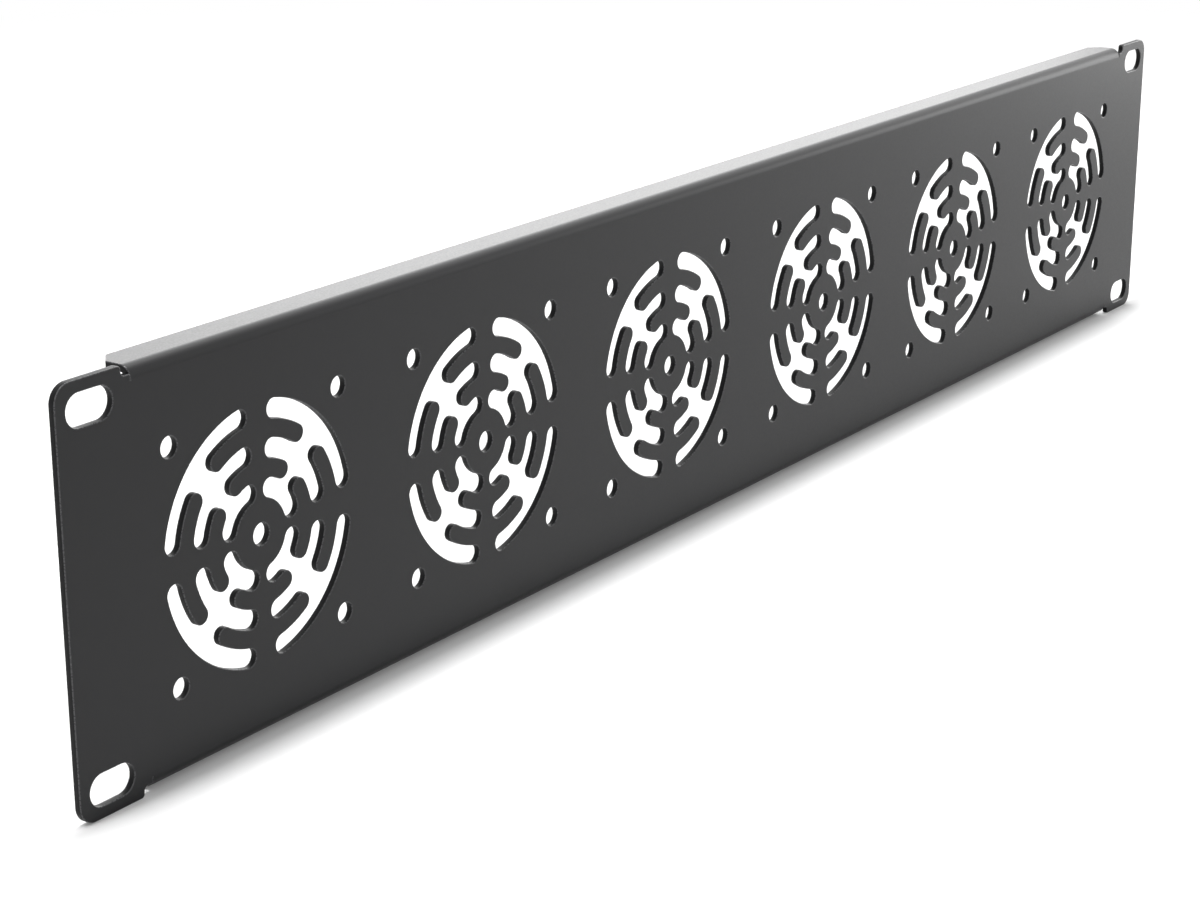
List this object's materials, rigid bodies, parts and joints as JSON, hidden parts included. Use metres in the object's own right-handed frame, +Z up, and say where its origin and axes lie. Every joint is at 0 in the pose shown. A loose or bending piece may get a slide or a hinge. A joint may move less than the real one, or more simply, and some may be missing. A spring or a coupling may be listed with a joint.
{
  "type": "rack fan panel",
  "caption": "Flat black steel panel for a 19-inch rack, two units high, with slotted ears, folded top and bottom edges and a row of punched ring-shaped finger guards for small fans.",
  "frame": {"origin": "centre of the four rack slots, on the back face of the ears, the face that meets the rack's posts", "axes": "+X along the panel, to the right seen from the front; +Y into the rack, square to the panel; +Z up"},
  "size_m": [0.4826, 0.0097, 0.0882],
  "materials": {
    "black_powder_coat": "satin"
  },
  "bodies": {
    "root": {"fan_panel": "black_powder_coat"}
  },
  "joints": []
}
